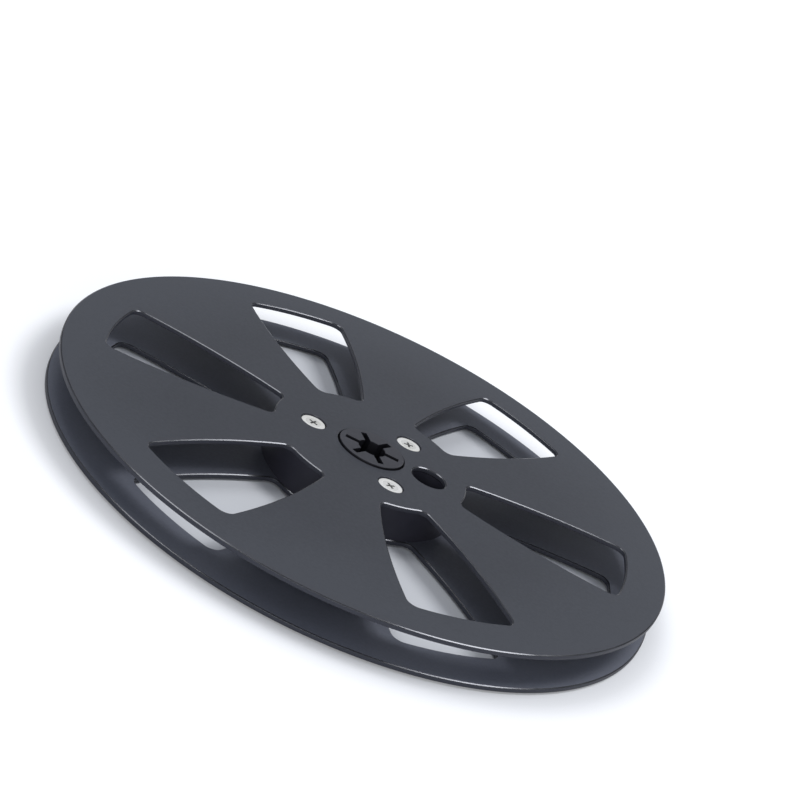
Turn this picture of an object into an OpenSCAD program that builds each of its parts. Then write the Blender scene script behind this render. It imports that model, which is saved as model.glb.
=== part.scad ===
// Seven inch open reel for quarter inch audio tape.
// Two anodised flanges are screwed to a ribbed hub drum, and hold a slotted spindle core between them.
// Millimetres. The reel's axis is Z. The origin is the centre of the core's lower end, on which the reel rests.

/* [Flanges] */
// Diameter of both flanges
flange_d = 178; // [160:1:190]
// Thickness of each flange
flange_t = 1.45; // [1.3:0.05:2]
// Clear width between the flanges, in which the tape winds
tape_gap = 8.95; // [8:0.05:14]
// Bevel on the edges of the flanges, their windows and the threading hole
edge_break = 0.3; // [0.1:0.05:0.4]
// Degrees that the lower flange sits turned from the upper, inside the clearance of its screw holes
lower_turn = 0.5; // [0:0.1:0.6]

/* [Windows] */
// Width of the unbroken rim outside the windows
rim_w = 12; // [8:0.5:16]
// Distance from the drum to the windows' inner ends
window_land = 0.5; // [0.5:0.1:3]
// Width of a window at its inner end
window_w_in = 13.6; // [10:0.2:18]
// Width of a window at its outer end
window_w_out = 30.7; // [24:0.1:40]
// Radius of the bowed sides of a window
window_side_r = 175; // [120:5:400]
// Radius of the two corners near the drum
corner_r_in = 2.6; // [1:0.1:3]
// Radius of the two corners near the rim
corner_r_out = 3.1; // [1.5:0.1:5]

/* [Hub drum] */
// Diameter that the tape winds on
drum_d = 56; // [52:0.5:64]
// Thickness of the drum's outer wall
drum_wall = 2.4; // [1.6:0.1:3]
// Thickness of the wall round the core's seat
seat_wall = 1.5; // [1:0.1:1.8]
// Thickness of the web halfway up the drum
web_t = 1.6; // [1:0.1:3]
// Thickness of the radial ribs
rib_t = 1.2; // [0.8:0.1:2]
// Diameter of the three screw bosses
boss_d = 8; // [6:0.25:9]

/* [Threading hole] */
// Diameter of the hole that the end of the tape is drawn into
thread_hole_d = 10; // [8:0.25:10.5]
// Thickness of the wall round that hole
thread_hole_wall = 1.3; // [1:0.1:1.6]
// Width of the slit from the drum's surface to that hole
thread_slit_w = 1.2; // [0.8:0.1:2]

/* [Spindle core] */
// Diameter of the spindle hole
spindle_d = 8; // [7.5:0.1:9]
// Width of the six key slots
slot_w = 1.8; // [1.2:0.1:2.2]
// Diameter of the circle that the key slots reach
slot_reach_d = 15.8; // [13:0.1:16.4]
// Diameter of the core's bosses, which show through the flanges
core_boss_d = 18.9; // [18:0.1:19.4]
// Height of each boss above its flange
core_proud = 0.5; // [0.2:0.05:1]
// Diameter of the collar held between the flanges
collar_d = 21; // [20.8:0.05:21.4]
// Diameter of the circle that the collar's three keys reach
key_reach_d = 25.2; // [24:0.1:26]
// Width of the collar's keys
key_w = 4; // [3:0.25:5]

/* [Screws] */
// Diameter of the circle on which the screws and the threading hole lie
screw_circle_d = 34.8; // [34:0.1:36]
// Diameter of the screws' shanks
screw_d = 3; // [2.5:0.1:3.5]
// Diameter of the screws' flat heads
head_d = 7; // [6.4:0.1:7.2]
// Thickness of the screws' heads
head_t = 0.6; // [0.5:0.05:0.7]
// Depth of the heads below the flange's face
head_sink = 0.3; // [0.2:0.05:0.35]
// Width across the cross recess
recess_span = 3.2; // [2.4:0.1:3.8]
// Width of the cross recess's arms
recess_w = 0.7; // [0.5:0.05:0.9]
// Depth of the cross recess
recess_depth = 1; // [0.6:0.1:1.6]

/* [Clearances] */
// Clearance round a core boss in its flange's hole
boss_clear = 0.45; // [0.2:0.05:0.5]
// Clearance round the collar and its keys in the drum's seat
collar_clear = 0.1; // [0.05:0.01:0.2]
// Clearance round a screw's shank in the drum
thread_clear = 0.05; // [0.02:0.01:0.1]
// Clearance round a screw's shank in the flange
shank_clear = 0.3; // [0.25:0.05:0.4]
// Clearance round a screw's head in its counterbore
head_clear = 0.25; // [0.2:0.05:0.4]
// Distance between the tips of two screws that meet in one boss
tip_gap = 0.8; // [0.4:0.1:2]

/* [Hidden] */

$fn = 96;

window_n = 6;
slot_n = 6;
screw_n = 3;
key_n = 3;
rib_n = 12;

// Directions of the first screw and the first key, from the threading hole's direction
screw_angle = 60;
key_angle = 30;

// Cutters run this far past the faces that they cut
over = 1;
// A window's corner circles are set this far over their neighbours, so that they cross them and don't only touch
tuck = 0.002;

flange_r = flange_d / 2;
drum_r = drum_d / 2;
window_r_in = drum_r + window_land;
window_r_out = flange_r - rim_w;
screw_circle_r = screw_circle_d / 2;
thread_hole_r = thread_hole_d / 2;
core_boss_r = core_boss_d / 2;
flange_hole_r = core_boss_r + boss_clear;
collar_r = collar_d / 2;
seat_r = collar_r + collar_clear;
counterbore_r = head_d / 2 + head_clear;
counterbore_depth = head_t + head_sink;
core_h = tape_gap + 2 * (flange_t + core_proud);
mid_z = core_h / 2;
shank_l = flange_t - counterbore_depth + (tape_gap - tip_gap) / 2;

// Small bevels on the core, the flange holes that it fills, and the screws
core_break = 0.12;
boss_hole_break = 0.1;
head_break = 0.12;
tip_break = 0.4;

black_metal = [0.26, 0.27, 0.29];
black_plastic = [0.16, 0.16, 0.17];
bright_zinc = [0.86, 0.86, 0.84];

function unit(v) = v / norm(v);

// One of the two points where the circle of radius a round the origin meets the circle of radius b round c
function meet(a, c, b) =
    let (d = norm(c), along = (a * a - b * b + d * d) / (2 * d), up = sqrt(a * a - along * along), e = c / d)
    along * e + up * [-e.y, e.x];

// The corners of one side of a window before they are rounded, and the centre of the arc that joins them
side_in = [sqrt(pow(window_r_in, 2) - pow(window_w_in / 2, 2)), window_w_in / 2];
side_out = [sqrt(pow(window_r_out, 2) - pow(window_w_out / 2, 2)), window_w_out / 2];
side_mid = (side_in + side_out) / 2;
side_half = norm(side_out - side_in) / 2;
side_along = unit(side_out - side_in);
side_centre = side_mid + sqrt(pow(window_side_r, 2) - pow(side_half, 2)) * [side_along.y, -side_along.x];

// Centres of the rounded corners, which touch the side's arc and the arc at that end
touch_in = corner_r_in - tuck;
touch_out = corner_r_out - tuck;
round_in = meet(window_r_in + touch_in, side_centre, window_side_r - touch_in);
round_out = meet(window_r_out - touch_out, side_centre, window_side_r - touch_out);

// Copies of the children at equal angles round the reel's axis
module around(n, start = 0) {
    for (i = [0 : n - 1]) rotate(start + i * 360 / n) children();
}

// Cutter for a round hole through a flange, wider at both faces by a bevel
module hole_cutter(r, bevel = edge_break) {
    wide = bevel + over;
    rotate_extrude()
        polygon([
            [0, -over], [r + wide, -over], [r, bevel], [r, flange_t - bevel],
            [r + wide, flange_t + over], [0, flange_t + over]
        ]);
}

// Disc that stays inside a cut-out, narrower at both faces by the edge bevel
module island(r) {
    wide = edge_break + over;
    rotate_extrude()
        polygon([
            [0, -over], [r - wide, -over], [r, edge_break], [r, flange_t - edge_break],
            [r - wide, flange_t + over], [0, flange_t + over]
        ]);
}

// What the rounding of a window's corner leaves: the wedge between its two tangent points, past its circle
module corner_left(centre, r, toward_end) {
    reach = 2 * r + over;
    toward_side = unit(centre - side_centre);
    difference() {
        translate([0, 0, -over])
            linear_extrude(flange_t + 2 * over)
                polygon([
                    centre, centre + reach * toward_end,
                    centre + reach * (toward_end + toward_side), centre + reach * toward_side
                ]);
        translate(centre) hole_cutter(r);
    }
}

// One window along +X, between two arcs round the reel's axis and two bowed sides
module window_cutter() {
    difference() {
        intersection() {
            hole_cutter(window_r_out);
            translate(side_centre) hole_cutter(window_side_r);
            mirror([0, 1, 0]) translate(side_centre) hole_cutter(window_side_r);
        }
        island(window_r_in);
        for (side = [0, 1]) mirror([0, side, 0]) {
            corner_left(round_in, corner_r_in, -unit(round_in));
            corner_left(round_out, corner_r_out, unit(round_out));
        }
    }
}

// Counterbore and clearance hole for one screw
module screw_seat_cutter() {
    translate([0, 0, -over]) cylinder(h = flange_t + 2 * over, r = screw_d / 2 + shank_clear);
    translate([0, 0, flange_t - counterbore_depth]) cylinder(h = counterbore_depth + over, r = counterbore_r);
}

// One flange, with its inner face at height 0 and its counterbored outer face up
module flange() {
    color(black_metal)
    difference() {
        rotate_extrude()
            polygon([
                [0, 0], [flange_r - edge_break, 0], [flange_r, edge_break],
                [flange_r, flange_t - edge_break], [flange_r - edge_break, flange_t], [0, flange_t]
            ]);
        hole_cutter(flange_hole_r, boss_hole_break);
        around(window_n) window_cutter();
        around(screw_n, screw_angle) translate([screw_circle_r, 0, 0]) screw_seat_cutter();
        translate([screw_circle_r, 0, 0]) hole_cutter(thread_hole_r);
    }
}

module flange_upper() {
    translate([0, 0, mid_z + tape_gap / 2]) flange();
}

module flange_lower() {
    rotate(lower_turn) translate([0, 0, mid_z - tape_gap / 2]) mirror([0, 0, 1]) flange();
}

// Outline of a radial wall along +X, from one radius to another
module wall_plan(from_r, to_r, width) {
    translate([from_r, -width / 2]) square([to_r - from_r, width]);
}

// Outline of what stands as tall as the drum, before its holes are cut
module drum_walls_plan() {
    rib_from = seat_r + seat_wall / 2;
    rib_to = drum_r - drum_wall / 2;
    difference() {
        circle(drum_r);
        circle(drum_r - drum_wall);
    }
    circle(seat_r + seat_wall);
    around(rib_n) wall_plan(rib_from, rib_to, rib_t);
    around(screw_n, screw_angle) translate([screw_circle_r, 0]) circle(boss_d / 2);
    translate([screw_circle_r, 0]) circle(thread_hole_r + thread_hole_wall);
    wall_plan(screw_circle_r, rib_to, thread_slit_w + 2 * rib_t);
    around(key_n, key_angle)
        wall_plan(0, key_reach_d / 2 + collar_clear + seat_wall, key_w + 2 * (collar_clear + seat_wall));
}

// Outline of the drum's holes: the core's keyed seat, the screw holes, the threading hole and its slit
module drum_holes_plan() {
    circle(seat_r);
    around(key_n, key_angle) wall_plan(0, key_reach_d / 2 + collar_clear, key_w + 2 * collar_clear);
    around(screw_n, screw_angle) translate([screw_circle_r, 0]) circle(screw_d / 2 + thread_clear);
    translate([screw_circle_r, 0]) circle(thread_hole_r);
    wall_plan(screw_circle_r, drum_r + over, thread_slit_w);
}

// Moulded drum: a wall for the tape, a seat for the core, a web, ribs, screw bosses and the threading hole
module hub_drum() {
    color(black_plastic)
    translate([0, 0, mid_z - tape_gap / 2])
    difference() {
        union() {
            linear_extrude(tape_gap) drum_walls_plan();
            translate([0, 0, (tape_gap - web_t) / 2]) cylinder(h = web_t, r = drum_r - drum_wall / 2);
        }
        translate([0, 0, -over]) linear_extrude(tape_gap + 2 * over) drum_holes_plan();
    }
}

// Turned body of the core, with bevelled ends, before its hole and slots are cut
module core_body() {
    foot = core_h / 2;
    step = tape_gap / 2;
    rotate_extrude()
        polygon([
            [0, -foot], [core_boss_r - core_break, -foot], [core_boss_r, core_break - foot], [core_boss_r, -step],
            [collar_r, -step], [collar_r, step],
            [core_boss_r, step], [core_boss_r, foot - core_break], [core_boss_r - core_break, foot], [0, foot]
        ]);
}

// Spindle hole with a bevelled mouth at each end
module spindle_cutter() {
    r = spindle_d / 2;
    wide = core_break + over;
    rotate_extrude()
        polygon([
            [0, -core_h / 2 - over], [r + wide, -core_h / 2 - over], [r, core_break - core_h / 2],
            [r, core_h / 2 - core_break], [r + wide, core_h / 2 + over], [0, core_h / 2 + over]
        ]);
}

// Core that sits on the recorder's spindle, keyed to the drum and held by its collar between the flanges
module spindle_core() {
    color(black_plastic)
    translate([0, 0, mid_z])
    difference() {
        union() {
            core_body();
            translate([0, 0, -tape_gap / 2])
                linear_extrude(tape_gap)
                    around(key_n, key_angle) wall_plan(spindle_d, key_reach_d / 2, key_w);
        }
        spindle_cutter();
        around(slot_n)
            translate([0, -slot_w / 2, -core_h / 2 - over])
                cube([slot_reach_d / 2, slot_w, core_h + 2 * over]);
    }
}

// Flat-headed screw with its seat at height 0 and its head up
module screw() {
    color(bright_zinc)
    difference() {
        rotate_extrude()
            polygon([
                [0, -shank_l], [screw_d / 2 - tip_break, -shank_l], [screw_d / 2, tip_break - shank_l],
                [screw_d / 2, 0], [head_d / 2, 0], [head_d / 2, head_t - head_break],
                [head_d / 2 - head_break, head_t], [0, head_t]
            ]);
        for (turn = [0, 90])
            rotate(turn)
                translate([-recess_span / 2, -recess_w / 2, head_t - recess_depth])
                    cube([recess_span, recess_w, recess_depth + over]);
    }
}

// Screw at its seat in the upper flange, counted round the axis from the threading hole
module screw_upper(i) {
    rotate(screw_angle + (i - 1) * 360 / screw_n)
        translate([screw_circle_r, 0, mid_z + tape_gap / 2 + flange_t - counterbore_depth]) screw();
}

// Screw at its seat in the lower flange, straight below the upper one of the same number
module screw_lower(i) {
    translate([0, 0, core_h]) mirror([0, 0, 1]) screw_upper(i);
}

flange_upper();
flange_lower();
hub_drum();
spindle_core();
screw_upper(1);  // screw_upper_1
screw_upper(2);  // screw_upper_2
screw_upper(3);  // screw_upper_3
screw_lower(1);  // screw_lower_1
screw_lower(2);  // screw_lower_2
screw_lower(3);  // screw_lower_3
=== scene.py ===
import math

import bmesh
import bpy
from mathutils import Matrix, Vector


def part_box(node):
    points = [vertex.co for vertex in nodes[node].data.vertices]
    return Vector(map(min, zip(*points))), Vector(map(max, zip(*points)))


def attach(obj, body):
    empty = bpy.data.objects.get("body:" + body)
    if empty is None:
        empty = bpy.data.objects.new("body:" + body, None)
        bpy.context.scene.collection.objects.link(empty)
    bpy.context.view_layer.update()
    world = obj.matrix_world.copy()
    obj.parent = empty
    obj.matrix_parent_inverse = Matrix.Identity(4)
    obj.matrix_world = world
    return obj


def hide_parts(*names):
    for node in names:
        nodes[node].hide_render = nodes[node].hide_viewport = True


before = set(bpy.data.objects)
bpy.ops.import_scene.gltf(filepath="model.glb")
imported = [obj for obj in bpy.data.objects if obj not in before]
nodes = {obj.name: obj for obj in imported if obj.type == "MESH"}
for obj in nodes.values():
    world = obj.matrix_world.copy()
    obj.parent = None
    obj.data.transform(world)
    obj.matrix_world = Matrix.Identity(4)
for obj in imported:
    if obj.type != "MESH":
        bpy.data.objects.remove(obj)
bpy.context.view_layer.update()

MM = 0.001

# Sizes that the frame gives

flange_low, flange_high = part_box("flange_upper")
lower_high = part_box("flange_lower")[1]
drum_low, drum_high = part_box("hub_drum")
core_low, core_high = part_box("spindle_core")
screw_low, screw_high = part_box("screw_upper_3")

FLANGE_R = min(flange_high.x, -flange_low.x)
FLANGE_T = flange_high.z - flange_low.z
DRUM_R = (drum_high.x - drum_low.x) / 2
SCREW_HEAD_R = (screw_high.x - screw_low.x) / 2

# Sizes of the flanges' cut-outs, as the frame's flanges have them

WINDOW_COUNT = 6
DRUM_TO_WINDOW = 0.5 * MM
RIM_W = 12 * MM
WINDOW_R_IN = DRUM_R + DRUM_TO_WINDOW
WINDOW_R_OUT = FLANGE_R - RIM_W
WINDOW_W_IN = 13.6 * MM
WINDOW_W_OUT = 30.7 * MM
WINDOW_SIDE_R = 175 * MM
CORNER_R_IN = 2.6 * MM
CORNER_R_OUT = 3.1 * MM
CENTRE_HOLE_R = 9.9 * MM
THREAD_HOLE_R = 5 * MM
SCREW_CIRCLE_R = 17.4 * MM
SCREW_ANGLES = (60, 180, 300)
HEAD_CLEARANCE = 0.25 * MM
COUNTERBORE_R = SCREW_HEAD_R + HEAD_CLEARANCE
COUNTERBORE_DEPTH = 0.9 * MM
SCREW_HOLE_R = 1.8 * MM

# How far the lower flange sits turned from the upper, in degrees

LOWER_TURN = 0.5

# Bevel on the flanges' edges, which is what catches the light: depth into the metal and drop below the face

EDGE_BEVEL = [
    (0.355 * MM, 0),
    (0.31 * MM, 0.026 * MM),
    (0.09 * MM, 0.142 * MM),
    (0.05 * MM, 0.17 * MM),
    (0.015 * MM, 0.215 * MM),
    (0, 0.27 * MM),
]

# Bevel of the centre hole as a share of the others, and the counterbores' rounded edge with its middle step

CENTRE_HOLE_BEVEL = 0.3
COUNTERBORE_ROUND = 0.06 * MM
ROUND_STEP = 0.3

# Sizes of one screw

HEAD_T = 0.6 * MM
HEAD_EDGE_IN = 0.22 * MM
HEAD_EDGE_MIDDLE = (0.08 * MM, 0.035 * MM)
HEAD_EDGE_DROP = 0.13 * MM
SHANK_R = 1.5 * MM
SHANK_L = screw_high.z - screw_low.z - HEAD_T
SHANK_TIP = 0.4 * MM
DISH_R = 2.55 * MM
DISH_SLOPE = 0.25 * MM
DISH_DEPTH = 0.05 * MM

# The cross recess: its span and width, its rounded edge, and how it narrows, as pairs of inset and height

CROSS_SPAN = 2.7 * MM
CROSS_W = 0.6 * MM
CROSS_ROUND = 0.05 * MM
CROSS_TAPER = [(-0.1 * MM, -0.2 * MM), (-0.16 * MM, -0.4 * MM)]

# How each screw's cross is turned, in degrees

CROSS_TURNS = {1: 20, 2: 65, 3: 40}

# How many steps the round shapes are made in

RIM_STEPS = 320
CENTRE_HOLE_STEPS = 96
THREAD_HOLE_STEPS = 72
SCREW_STEPS = 64
SWEEP_STEPS = 96
WINDOW_OUTER_STEPS = 12
OUTER_CORNER_STEPS = 10
WINDOW_SIDE_STEPS = 18
INNER_CORNER_STEPS = 8
WINDOW_INNER_STEPS = 6

# Upright part of a face's normal beyond which it is level, or a bevel and not a wall

LEVEL = 0.999
SLOPED = 0.3

# Angle between faces, in degrees, above which the edge between them is sharp

SHARP_ANGLE = 35

# Mesh tools


def arc(centre, radius, start, end, steps):
    """Points of an arc from one direction to another, without the last one."""
    turns = [start + (end - start) * i / steps for i in range(steps)]
    return [(centre.x + radius * math.cos(a), centre.y + radius * math.sin(a)) for a in turns]


def direction(vector):
    """Angle of a flat vector."""
    return math.atan2(vector.y, vector.x)


def circles_meet(a, centre, b):
    """Where the circle of radius a round the origin meets the circle of radius b round a centre."""
    d = centre.length
    along = (a * a - b * b + d * d) / (2 * d)
    up = math.sqrt(a * a - along * along)
    e = centre / d
    return along * e + up * Vector((-e.y, e.x))


def side_centre():
    """Centre of the arc that bows the +Y side of the window along +X."""
    inner = Vector((math.sqrt(WINDOW_R_IN ** 2 - (WINDOW_W_IN / 2) ** 2), WINDOW_W_IN / 2))
    outer = Vector((math.sqrt(WINDOW_R_OUT ** 2 - (WINDOW_W_OUT / 2) ** 2), WINDOW_W_OUT / 2))
    along = (outer - inner).normalized()
    reach = math.sqrt(WINDOW_SIDE_R ** 2 - ((outer - inner).length / 2) ** 2)
    return (inner + outer) / 2 + reach * Vector((along.y, -along.x))


def window(turn):
    """Outline of one window, turned about the reel's axis, that goes a given distance into the metal."""
    side = side_centre()
    round_in = circles_meet(WINDOW_R_IN + CORNER_R_IN, side, WINDOW_SIDE_R - CORNER_R_IN)
    round_out = circles_meet(WINDOW_R_OUT - CORNER_R_OUT, side, WINDOW_SIDE_R - CORNER_R_OUT)
    half_in, half_out = direction(round_in), direction(round_out)
    to_in, to_out = direction(round_in - side), direction(round_out - side)
    origin = Vector((0, 0))

    def outline(into):
        points = arc(origin, WINDOW_R_OUT + into, 0, half_out, WINDOW_OUTER_STEPS)
        points += arc(round_out, CORNER_R_OUT + into, half_out, to_out, OUTER_CORNER_STEPS)
        points += arc(side, WINDOW_SIDE_R + into, to_out, to_in, WINDOW_SIDE_STEPS)
        points += arc(round_in, CORNER_R_IN + into, to_in, half_in + math.pi, INNER_CORNER_STEPS)
        points += arc(origin, WINDOW_R_IN - into, half_in, 0, WINDOW_INNER_STEPS)
        points.append((WINDOW_R_IN - into, 0))
        mirrored = [(x, -y) for x, y in points[1:-1]]
        c, s = math.cos(math.radians(turn)), math.sin(math.radians(turn))
        return [(x * c - y * s, x * s + y * c) for x, y in points + mirrored[::-1]]

    return outline


def bevelled_wall(height, size=1):
    """Wall from height down to 0 with both edges bevelled: pairs of depth into the metal and height."""
    top = [(into * size, height - drop * size) for into, drop in EDGE_BEVEL]
    return top + [(into, height - z) for into, z in reversed(top)]


def ring(bm, points, z):
    """Closed loop of edges through the points."""
    verts = [bm.verts.new((x, y, z)) for x, y in points]
    return [bm.edges.new(pair) for pair in zip(verts, verts[1:] + verts[:1])]


def wall(bm, outline, profile):
    """Skins an outline along pairs of depth into the material and height. Returns its end loops."""
    loops = [ring(bm, outline(into), z) for into, z in profile]
    for upper, lower in zip(loops, loops[1:]):
        bmesh.ops.bridge_loops(bm, edges=upper + lower)
    return loops[0], loops[-1]


def open_loop(vert):
    """The open edges that run round from a vertex."""
    loop = []
    while True:
        edge = next((e for e in vert.link_edges if e.is_boundary and e not in loop), None)
        if edge is None:
            return loop
        loop.append(edge)
        vert = edge.other_vert(vert)


def turned(bm, profile, steps, at=(0, 0)):
    """Spins a profile of pairs, radius and height, about an upright line. Returns its end loops."""
    verts = [bm.verts.new((at[0] + radius, at[1], z)) for radius, z in profile]
    edges = [bm.edges.new(pair) for pair in zip(verts, verts[1:])]
    bmesh.ops.spin(
        bm,
        geom=verts + edges,
        cent=(*at, 0),
        axis=(0, 0, 1),
        angle=2 * math.pi,
        steps=steps,
        use_merge=True,
    )
    return open_loop(verts[0]), open_loop(verts[-1])


def cap(bm, loops):
    """Fills the flat area between loops."""
    edges = [edge for loop in loops for edge in loop]
    bmesh.ops.triangle_fill(bm, use_beauty=True, use_dissolve=False, edges=edges)


def about_z(degrees):
    """Turn about an upright line."""
    return Matrix.Rotation(math.radians(degrees), 3, "Z")


def on_screw_circle(angle):
    """Place on the screws' circle at an angle in degrees."""
    turn = math.radians(angle)
    return SCREW_CIRCLE_R * math.cos(turn), SCREW_CIRCLE_R * math.sin(turn)


def piece(name, bm, materials, node):
    """Turns a bmesh into a finished object that stands for a CAD node."""
    bmesh.ops.recalc_face_normals(bm, faces=bm.faces)
    mesh = bpy.data.meshes.new(name)
    bm.to_mesh(mesh)
    bm.free()
    mesh.set_sharp_from_angle(angle=math.radians(SHARP_ANGLE))
    for face in mesh.polygons:
        face.use_smooth = abs(face.normal.z) < LEVEL
    obj = bpy.data.objects.new(name, mesh)
    bpy.context.scene.collection.objects.link(obj)
    for material in materials:
        mesh.materials.append(material)
    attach(obj, "root")
    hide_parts(node)
    return obj


# Colours of the finishes, darkest and palest

ANODISE_DARK = (0.045, 0.048, 0.0575)
ANODISE_PALE = (0.063, 0.068, 0.081)
# Inner faces: paler than the outer faces, as painted light between the flanges
INNER_PAINTED_LIGHT_DARK = (0.058, 0.062, 0.079)
INNER_PAINTED_LIGHT_PALE = (0.150, 0.162, 0.200)
# Walls: darker than the faces, as painted shade
WALL_SHADE_DARK = (0.036, 0.038, 0.049)
WALL_SHADE_PALE = (0.047, 0.050, 0.063)
EDGE_DARK = (0.083, 0.085, 0.093)
EDGE_PALE = (0.102, 0.104, 0.114)
DRUM_DARK = (0.021, 0.021, 0.030)
DRUM_PALE = (0.028, 0.028, 0.039)
CORE_FACE_DARK = (0.028, 0.029, 0.037)
CORE_FACE_PALE = (0.037, 0.038, 0.048)
# Painted shade on the core's walls
CORE_WALL_SHADE = (0.008, 0.008, 0.011)
ZINC_DARK = (0.93, 0.92, 0.87)
ZINC_PALE = (0.95, 0.95, 0.94)
DISH_DARK = (0.72, 0.72, 0.68)
DISH_PALE = (0.78, 0.78, 0.77)
# Cross recess: darker zinc, as painted shade
RECESS_SHADE_DARK = (0.24, 0.24, 0.24)
RECESS_SHADE_PALE = (0.34, 0.34, 0.33)

# Blasted anodise: sizes of its grain, clouds and specks, how much each does, and where a painted sheen makes
# it paler towards the rim

BLAST_GRAIN = 0.22 * MM
BLAST_DEPTH = 0.01 * MM
BLAST_STRENGTH = 0.5
CLOUD_SIZE = 22 * MM
CLOUD_SHARE = 0.3
SPECK_SIZE = 0.9 * MM
SPECK_SHARE = 0.4
RIM_SHEEN_FROM = 55 * MM
RIM_SHEEN_BY = 0.7
ANODISE_ROUGH = 0.42
ANODISE_ROUGH_SPREAD = 0.03
ANODISE_SPECULAR = 0.12

# The same finish on the flanges' inner faces: more even, painted paler as light between the flanges, and
# paler sooner towards the rim

INNER_MOTTLE = 0.35
INNER_PAINTED_LIGHT_FROM = 30 * MM
INNER_PAINTED_LIGHT_BY = 0.85

# The bevelled edges' finish

EDGE_GRAIN = 0.5 * MM
EDGE_DEPTH = 0.004 * MM
EDGE_STRENGTH = 0.4
EDGE_PATCH = 6 * MM
EDGE_ROUGH = 0.18
EDGE_ROUGH_SPREAD = 0.04
EDGE_METAL = 0.8
EDGE_GRAZE = 0.5

# Moulded plastic: its grain and patches, then the roughness from and to and the specular level of each piece

PLASTIC_GRAIN = 0.35 * MM
PLASTIC_DEPTH = 0.012 * MM
PLASTIC_STRENGTH = 0.5
PLASTIC_PATCH = 9 * MM
DRUM_SHEEN = (0.42, 0.5, 0.2)
CORE_SHEEN = (0.4, 0.46, 0.35)

# Depths below the core's end faces between which its grey gives way to painted near-black shade on its walls

UNSHADED_DEPTH = 0.04 * MM
FULL_SHADE_DEPTH = 0.25 * MM

# Zinc plating

ZINC_GRAIN = 0.3 * MM
ZINC_DEPTH = 0.006 * MM
ZINC_STRENGTH = 0.4
ZINC_PATCH = 7 * MM
ZINC_ROUGH_SPREAD = 0.08
ZINC_METAL = 0.4
ZINC_ROUGH = 0.32
DISH_ROUGH = 0.45
RECESS_ROUGH = 0.5

# The range that a noise pattern mostly keeps to, and a narrower one for stronger patches

NOISE_RANGE = (0.3, 0.7)
NARROW_RANGE = (0.35, 0.65)

# Material tools


def node_tree(name):
    """New material, its node tree and its Principled shader."""
    material = bpy.data.materials.new(name)
    material.use_nodes = True
    tree = material.node_tree
    return material, tree, tree.nodes["Principled BSDF"]


def noise(tree, size, detail):
    """Noise pattern of a size, on the object's own coordinates."""
    coordinates = tree.nodes.new("ShaderNodeTexCoord")
    texture = tree.nodes.new("ShaderNodeTexNoise")
    texture.inputs["Scale"].default_value = 1 / size
    texture.inputs["Detail"].default_value = detail
    tree.links.new(coordinates.outputs["Object"], texture.inputs["Vector"])
    return texture.outputs["Fac"]


def remap(tree, value, low, high, to_low, to_high):
    """Value moved from one range to another."""
    node = tree.nodes.new("ShaderNodeMapRange")
    for socket, number in (("From Min", low), ("From Max", high), ("To Min", to_low), ("To Max", to_high)):
        node.inputs[socket].default_value = number
    tree.links.new(value, node.inputs["Value"])
    return node.outputs["Result"]


def spread(tree, pattern, low=0, high=1, within=NOISE_RANGE):
    """Noise pattern spread from low to high."""
    return remap(tree, pattern, *within, low, high)


def tint(tree, value, dark, pale):
    """Colour between two colours."""
    node = tree.nodes.new("ShaderNodeMix")
    node.data_type = "RGBA"
    node.inputs["A"].default_value = (*dark, 1)
    node.inputs["B"].default_value = (*pale, 1)
    tree.links.new(value, node.inputs["Factor"])
    return node.outputs["Result"]


def bump(tree, shader, height, distance, strength):
    """Height in metres, pressed into the surface."""
    node = tree.nodes.new("ShaderNodeBump")
    node.inputs["Distance"].default_value = distance
    node.inputs["Strength"].default_value = strength
    tree.links.new(height, node.inputs["Height"])
    tree.links.new(node.outputs["Normal"], shader.inputs["Normal"])


def from_axis(tree):
    """Distance from the reel's axis."""
    coordinates = tree.nodes.new("ShaderNodeTexCoord")
    flat = tree.nodes.new("ShaderNodeVectorMath")
    flat.operation = "MULTIPLY"
    flat.inputs[1].default_value = (1, 1, 0)
    length = tree.nodes.new("ShaderNodeVectorMath")
    length.operation = "LENGTH"
    tree.links.new(coordinates.outputs["Object"], flat.inputs[0])
    tree.links.new(flat.outputs["Vector"], length.inputs[0])
    return length.outputs["Value"]


def off_level(tree, level):
    """Height above or below a level."""
    coordinates = tree.nodes.new("ShaderNodeTexCoord")
    split = tree.nodes.new("ShaderNodeSeparateXYZ")
    rise = tree.nodes.new("ShaderNodeMath")
    rise.operation = "SUBTRACT"
    rise.inputs[1].default_value = level
    size = tree.nodes.new("ShaderNodeMath")
    size.operation = "ABSOLUTE"
    tree.links.new(coordinates.outputs["Object"], split.inputs["Vector"])
    tree.links.new(split.outputs["Z"], rise.inputs[0])
    tree.links.new(rise.outputs["Value"], size.inputs[0])
    return size.outputs["Value"]


def total(tree, a, b):
    """Sum of two values."""
    node = tree.nodes.new("ShaderNodeMath")
    node.operation = "ADD"
    tree.links.new(a, node.inputs[0])
    tree.links.new(b, node.inputs[1])
    return node.outputs["Value"]


def seen_directly(tree):
    """1 for what the camera, a gloss or a clear surface shows, and 0 for the light that falls on things."""
    path = tree.nodes.new("ShaderNodeLightPath")
    seen = path.outputs["Is Camera Ray"]
    for ray in ("Is Glossy Ray", "Is Transmission Ray"):
        seen = total(tree, seen, path.outputs[ray])
    return seen


# Materials


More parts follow.
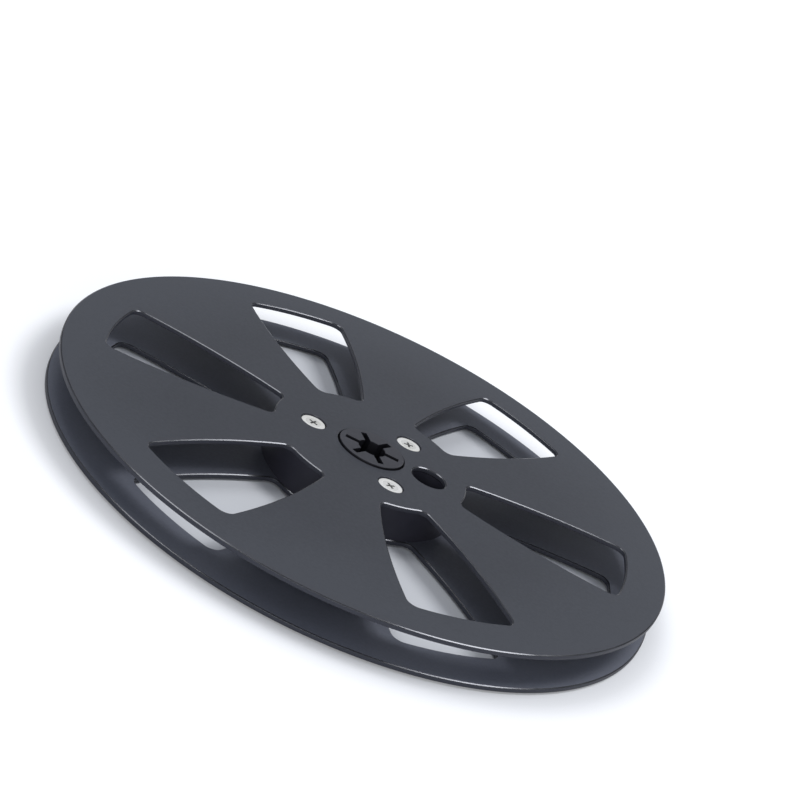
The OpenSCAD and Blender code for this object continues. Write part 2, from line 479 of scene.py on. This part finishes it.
def blasted_anodise(name, dark, pale, mottle=1, painted_light_from=RIM_SHEEN_FROM, painted_light_by=RIM_SHEEN_BY):
    """Bead-blasted black anodise: even grain, faint clouds and specks, and painted light paler to the rim.
    """
    material, tree, shader = node_tree(name)
    grain = noise(tree, BLAST_GRAIN, 2)
    clouds = noise(tree, CLOUD_SIZE, 3)
    specks = noise(tree, SPECK_SIZE, 2)
    cloudy = spread(tree, clouds, 0, CLOUD_SHARE * mottle)
    specked = spread(tree, specks, 0, SPECK_SHARE * mottle)
    # Painted sheen, or painted light on the inner faces, that grows paler towards the rim
    outward_painted_light = remap(tree, from_axis(tree), painted_light_from, FLANGE_R, 0, painted_light_by)
    colour = tint(tree, total(tree, total(tree, cloudy, specked), outward_painted_light), dark, pale)
    tree.links.new(colour, shader.inputs["Base Color"])
    low = ANODISE_ROUGH - ANODISE_ROUGH_SPREAD
    high = ANODISE_ROUGH + ANODISE_ROUGH_SPREAD
    tree.links.new(spread(tree, clouds, low, high), shader.inputs["Roughness"])
    shader.inputs["Specular IOR Level"].default_value = ANODISE_SPECULAR
    bump(tree, shader, grain, BLAST_DEPTH, BLAST_STRENGTH)
    return material


def bevelled_edge():
    """The flanges' bevelled edges, cut smoother than the blasted faces."""
    material, tree, shader = node_tree("bevelled anodised edge")
    grain = noise(tree, EDGE_GRAIN, 2)
    patches = noise(tree, EDGE_PATCH, 2)
    colour = tint(tree, spread(tree, patches), EDGE_DARK, EDGE_PALE)
    tree.links.new(colour, shader.inputs["Base Color"])
    low = EDGE_ROUGH - EDGE_ROUGH_SPREAD
    high = EDGE_ROUGH + EDGE_ROUGH_SPREAD
    tree.links.new(spread(tree, patches, low, high), shader.inputs["Roughness"])
    shader.inputs["Metallic"].default_value = EDGE_METAL
    shader.inputs["Specular Tint"].default_value = (EDGE_GRAZE, EDGE_GRAZE, EDGE_GRAZE, 1)
    bump(tree, shader, grain, EDGE_DEPTH, EDGE_STRENGTH)
    return material


def moulded_plastic(name, dark, pale, rough_low, rough_high, specular):
    """Dark moulded plastic with a fine spark-eroded grain."""
    material, tree, shader = node_tree(name)
    grain = noise(tree, PLASTIC_GRAIN, 3)
    patches = noise(tree, PLASTIC_PATCH, 2)
    tree.links.new(tint(tree, spread(tree, patches), dark, pale), shader.inputs["Base Color"])
    tree.links.new(spread(tree, patches, rough_low, rough_high), shader.inputs["Roughness"])
    shader.inputs["Specular IOR Level"].default_value = specular
    bump(tree, shader, grain, PLASTIC_DEPTH, PLASTIC_STRENGTH)
    return material


def core_plastic():
    """The core's plastic: its end faces keep their grey, and its walls are painted near black as shade."""
    material = moulded_plastic("core plastic", CORE_FACE_DARK, CORE_FACE_PALE, *CORE_SHEEN)
    tree = material.node_tree
    shader = tree.nodes["Principled BSDF"]
    face_grey = shader.inputs["Base Color"].links[0].from_socket
    middle = (core_low.z + core_high.z) / 2
    end = core_high.z - middle
    at_end = remap(tree, off_level(tree, middle), end - FULL_SHADE_DEPTH, end - UNSHADED_DEPTH, 0, 1)
    # Painted shade: the walls, deeper than a little below the end faces, turn near black
    node = tree.nodes.new("ShaderNodeMix")
    node.data_type = "RGBA"
    node.inputs["A"].default_value = (*CORE_WALL_SHADE, 1)
    tree.links.new(face_grey, node.inputs["B"])
    tree.links.new(at_end, node.inputs["Factor"])
    tree.links.new(node.outputs["Result"], shader.inputs["Base Color"])
    return material


def zinc_plating(name, dark, pale, roughness):
    """Zinc plating, faintly warm and cloudy."""
    material, tree, shader = node_tree(name)
    grain = noise(tree, ZINC_GRAIN, 3)
    patches = noise(tree, ZINC_PATCH, 3)
    colour = tint(tree, spread(tree, patches, within=NARROW_RANGE), dark, pale)
    tree.links.new(colour, shader.inputs["Base Color"])
    rough = spread(tree, patches, roughness, roughness + ZINC_ROUGH_SPREAD, NARROW_RANGE)
    tree.links.new(rough, shader.inputs["Roughness"])
    shader.inputs["Metallic"].default_value = ZINC_METAL
    bump(tree, shader, grain, ZINC_DEPTH, ZINC_STRENGTH)
    return material


FLANGE_FACE = blasted_anodise("blasted black anodise", ANODISE_DARK, ANODISE_PALE)
# Inner faces, with painted light that makes them paler
FLANGE_INSIDE_PAINTED_LIGHT = blasted_anodise(
    "blasted anodise inside with painted light", INNER_PAINTED_LIGHT_DARK, INNER_PAINTED_LIGHT_PALE, INNER_MOTTLE, INNER_PAINTED_LIGHT_FROM, INNER_PAINTED_LIGHT_BY
)
# Walls, with painted shade that makes them darker than the faces
FLANGE_WALL = blasted_anodise("cut anodised wall with painted shade", WALL_SHADE_DARK, WALL_SHADE_PALE)
FLANGE_EDGE = bevelled_edge()
DRUM_PLASTIC = moulded_plastic("drum plastic", DRUM_DARK, DRUM_PALE, *DRUM_SHEEN)
CORE_PLASTIC = core_plastic()
SCREW_ZINC = zinc_plating("bright zinc plating", ZINC_DARK, ZINC_PALE, ZINC_ROUGH)
SCREW_DISH_ZINC = zinc_plating("dull zinc plating", DISH_DARK, DISH_PALE, DISH_ROUGH)
# Zinc in the cross recess, darker as painted shade
SCREW_RECESS_ZINC = zinc_plating("zinc with painted shade in the recess", RECESS_SHADE_DARK, RECESS_SHADE_PALE, RECESS_ROUGH)

# The finishes of a flange and of a screw, in the order of their faces' material numbers

FLANGE_FINISHES = [FLANGE_FACE, FLANGE_EDGE, FLANGE_INSIDE_PAINTED_LIGHT, FLANGE_WALL]
FACE, EDGE, INSIDE, WALL = range(4)
SCREW_FINISHES = [SCREW_ZINC, SCREW_DISH_ZINC, SCREW_RECESS_ZINC]
BRIGHT, DISHED, RECESSED = range(3)

# Flanges


def flange_finish(up):
    """Number of the finish for a face of the flange, by the upright part of its normal."""
    if up > LEVEL:
        return FACE
    if up < -LEVEL:
        return INSIDE
    return EDGE if abs(up) > SLOPED else WALL


def flange_mesh():
    """One flange with its inner face at height 0 and its counterbored face up."""
    bm = bmesh.new()
    bevelled = bevelled_wall(FLANGE_T)
    fitted = bevelled_wall(FLANGE_T, CENTRE_HOLE_BEVEL)
    rim = [(FLANGE_R - into, z) for into, z in bevelled]
    centre_hole = [(CENTRE_HOLE_R + into, z) for into, z in fitted]
    thread_hole = [(THREAD_HOLE_R + into, z) for into, z in bevelled]
    ends = [turned(bm, rim, RIM_STEPS)]
    ends.append(turned(bm, centre_hole, CENTRE_HOLE_STEPS))
    ends.append(turned(bm, thread_hole, THREAD_HOLE_STEPS, (SCREW_CIRCLE_R, 0)))
    for i in range(WINDOW_COUNT):
        ends.append(wall(bm, window(360 * i / WINDOW_COUNT), bevelled))
    floor = FLANGE_T - COUNTERBORE_DEPTH
    seat = [
        (COUNTERBORE_R + COUNTERBORE_ROUND, FLANGE_T),
        (COUNTERBORE_R + ROUND_STEP * COUNTERBORE_ROUND, FLANGE_T - ROUND_STEP * COUNTERBORE_ROUND),
        (COUNTERBORE_R, FLANGE_T - COUNTERBORE_ROUND),
        (COUNTERBORE_R, floor),
        (SCREW_HOLE_R, floor),
        (SCREW_HOLE_R, 0),
    ]
    for angle in SCREW_ANGLES:
        ends.append(turned(bm, seat, SCREW_STEPS, on_screw_circle(angle)))
    cap(bm, [top for top, bottom in ends])
    cap(bm, [bottom for top, bottom in ends])
    bmesh.ops.recalc_face_normals(bm, faces=bm.faces)
    for face in bm.faces:
        face.material_index = flange_finish(face.normal.z)
    return bm


def make_flanges():
    """Both flanges, the lower one a mirror image of the upper and a little turned."""
    upper = flange_mesh()
    bmesh.ops.translate(upper, verts=upper.verts, vec=(0, 0, flange_low.z))
    lower = flange_mesh()
    bmesh.ops.scale(lower, verts=lower.verts, vec=(1, 1, -1))
    bmesh.ops.rotate(lower, verts=lower.verts, matrix=about_z(LOWER_TURN))
    bmesh.ops.translate(lower, verts=lower.verts, vec=(0, 0, lower_high.z))
    piece("flange_upper_fine", upper, FLANGE_FINISHES, "flange_upper")
    piece("flange_lower_fine", lower, FLANGE_FINISHES, "flange_lower")


# Screws


def cross(into):
    """Outline of the cross recess, that goes a given distance into the metal."""
    a = CROSS_W / 2 + into
    b = CROSS_SPAN / 2 + into
    arm = [(b, -a), (b, a), (a, a)]
    return [
        (x * c - y * s, x * s + y * c)
        for c, s in ((1, 0), (0, 1), (-1, 0), (0, -1))
        for x, y in arm
    ]


def screw_mesh():
    """One screw with its seat at height 0 and its head up."""
    bm = bmesh.new()
    dish = HEAD_T - DISH_DEPTH
    middle_in, middle_drop = HEAD_EDGE_MIDDLE
    outside = [
        (DISH_R - DISH_SLOPE, dish),
        (DISH_R, HEAD_T),
        (SCREW_HEAD_R - HEAD_EDGE_IN, HEAD_T),
        (SCREW_HEAD_R - middle_in, HEAD_T - middle_drop),
        (SCREW_HEAD_R, HEAD_T - HEAD_EDGE_DROP),
        (SCREW_HEAD_R, 0),
        (SHANK_R, 0),
        (SHANK_R, SHANK_TIP - SHANK_L),
        (SHANK_R - SHANK_TIP, -SHANK_L),
    ]
    recess = [(CROSS_ROUND, dish), (0, dish - CROSS_ROUND)] + CROSS_TAPER
    made = set()

    def finish(index):
        """Gives one of the screw's finishes to the faces made since the last call."""
        for face in bm.faces:
            if face not in made:
                made.add(face)
                face.material_index = index

    rim, tip = turned(bm, outside, SCREW_STEPS)
    cap(bm, [tip])
    finish(BRIGHT)
    mouth, bottom = wall(bm, cross, recess)
    cap(bm, [bottom])
    finish(RECESSED)
    cap(bm, [rim, mouth])
    finish(DISHED)
    return bm


def make_screws():
    """Six screws, each with its cross turned its own way."""
    for side in ("upper", "lower"):
        for i, angle in enumerate(SCREW_ANGLES, 1):
            node = f"screw_{side}_{i}"
            low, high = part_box(node)
            bm = screw_mesh()
            bmesh.ops.rotate(bm, verts=bm.verts, matrix=about_z(CROSS_TURNS[i]))
            seat = high.z - HEAD_T
            if side == "lower":
                bmesh.ops.scale(bm, verts=bm.verts, vec=(1, 1, -1))
                seat = low.z + HEAD_T
            bmesh.ops.translate(bm, verts=bm.verts, vec=(*on_screw_circle(angle), seat))
            piece(f"{node}_fine", bm, SCREW_FINISHES, node)


# CAD nodes that stay, with better finishes


def refinish(node, material):
    """Gives a CAD node's surface another material."""
    mesh = nodes[node].data
    mesh.materials.clear()
    mesh.materials.append(material)


make_flanges()
make_screws()
refinish("hub_drum", DRUM_PLASTIC)
refinish("spindle_core", CORE_PLASTIC)

# Floor: its colour, its profile in metres as radius and height, and the light of its own that makes it white

FLOOR_COLOUR = (0.63, 0.65, 0.69)
FLOOR_ROUGH = 0.7
FLOOR_SPECULAR = 0.1
SWEEP = [(4.4, 0), (4.8, 0.02), (5.2, 0.1), (5.5, 0.25), (5.7, 0.5), (5.76, 0.8), (5.76, 1.3)]
FLOOR_LIFT = 0.43
LIFT_FROM, LIFT_FULL = 80 * MM, 100 * MM
FAR_LIFT = 0.47
FAR_FROM, FAR_FULL = 120 * MM, 900 * MM


def sweep_material():
    """White that keeps the reel's shadow, with a little light of its own round the reel and more far off."""
    material, tree, shader = node_tree("white sweep")
    shader.inputs["Base Color"].default_value = (*FLOOR_COLOUR, 1)
    shader.inputs["Roughness"].default_value = FLOOR_ROUGH
    shader.inputs["Specular IOR Level"].default_value = FLOOR_SPECULAR
    shader.inputs["Emission Color"].default_value = (1, 1, 1, 1)
    round_reel = remap(tree, from_axis(tree), LIFT_FROM, LIFT_FULL, 0, FLOOR_LIFT)
    far_off = remap(tree, from_axis(tree), FAR_FROM, FAR_FULL, 0, FAR_LIFT)
    lift = tree.nodes.new("ShaderNodeMath")
    lift.operation = "MULTIPLY"
    tree.links.new(seen_directly(tree), lift.inputs[0])
    tree.links.new(total(tree, round_reel, far_off), lift.inputs[1])
    tree.links.new(lift.outputs["Value"], shader.inputs["Emission Strength"])
    return material


def make_floor():
    """White sweep that the reel lies on, with a low wall far round it."""
    bm = bmesh.new()
    edge = turned(bm, SWEEP, SWEEP_STEPS)[0]
    cap(bm, [edge])
    bmesh.ops.recalc_face_normals(bm, faces=bm.faces)
    bmesh.ops.reverse_faces(bm, faces=bm.faces)
    for face in bm.faces:
        face.smooth = abs(face.normal.z) < LEVEL
    mesh = bpy.data.meshes.new("floor")
    bm.to_mesh(mesh)
    bm.free()
    mesh.materials.append(sweep_material())
    floor = bpy.data.objects.new("floor", mesh)
    bpy.context.scene.collection.objects.link(floor)


make_floor()

# Light from all round

WORLD_COLOUR = (0.93, 0.97, 1.06)
WORLD_STRENGTH = 0.34

# Square lamps: azimuth and elevation in degrees, distance and side in metres, and power in watts

LAMPS = {
    "key softbox": (27, 61, 1.2, 0.48, 7.0),
    "fill softbox": (157, 66, 1.2, 0.42, 2.4),
    "front softbox": (270, 13, 1.2, 0.8, 6.8),
}


def towards(azimuth, elevation):
    """Direction at two angles in radians. Azimuth 0 is towards +X, and a quarter turn is towards +Y."""
    flat = math.cos(elevation)
    return Vector((math.cos(azimuth) * flat, math.sin(azimuth) * flat, math.sin(elevation)))


def make_world():
    """Soft even light from all round."""
    world = bpy.data.worlds.new("studio")
    world.use_nodes = True
    sky = world.node_tree.nodes["Background"]
    sky.inputs["Color"].default_value = (*WORLD_COLOUR, 1)
    sky.inputs["Strength"].default_value = WORLD_STRENGTH
    bpy.context.scene.world = world


def softbox(name, azimuth, elevation, distance, side, power):
    """Square lamp that faces the reel."""
    away = towards(math.radians(azimuth), math.radians(elevation))
    lamp = bpy.data.lights.new(name, "AREA")
    lamp.shape = "SQUARE"
    lamp.size = side
    lamp.energy = power
    obj = bpy.data.objects.new(name, lamp)
    obj.location = away * distance
    obj.rotation_mode = "QUATERNION"
    obj.rotation_quaternion = away.to_track_quat("Z", "Y")
    bpy.context.scene.collection.objects.link(obj)


make_world()
for name, setting in LAMPS.items():
    softbox(name, *setting)

# Camera, fitted to the photograph's 800 by 800 pixels, with its angles in degrees

PHOTO_SIDE = 800
FOCAL_PIXELS = 2217.7
SENSOR = 36
VIEW_AZIMUTH = 89.569
VIEW_ELEVATION = 22.221
VIEW_ROLL = 26.443
VIEW_DISTANCE = 639.29 * MM
AIM = Vector((1.267 * MM, 40.879 * MM, flange_high.z))
CLIP_NEAR = 0.01
CLIP_FAR = 20


def make_camera():
    """Camera that looks towards an azimuth and down on the reel, rolled about its own axis."""
    camera = bpy.data.cameras.new("camera")
    camera.sensor_width = SENSOR
    camera.lens = FOCAL_PIXELS / PHOTO_SIDE * SENSOR
    camera.clip_start = CLIP_NEAR
    camera.clip_end = CLIP_FAR
    obj = bpy.data.objects.new("camera", camera)
    heading, tilt = math.radians(VIEW_AZIMUTH), math.radians(VIEW_ELEVATION)
    back = -towards(heading, -tilt)
    place = Matrix.Translation(AIM + back * VIEW_DISTANCE)
    turn = Matrix.Rotation(heading - math.pi / 2, 4, "Z")
    tip = Matrix.Rotation(math.pi / 2 - tilt, 4, "X")
    roll = Matrix.Rotation(math.radians(VIEW_ROLL), 4, "Z")
    obj.matrix_world = place @ (turn @ tip) @ roll
    bpy.context.scene.collection.objects.link(obj)
    bpy.context.scene.camera = obj


make_camera()

bpy.context.scene.view_settings.view_transform = "Standard"
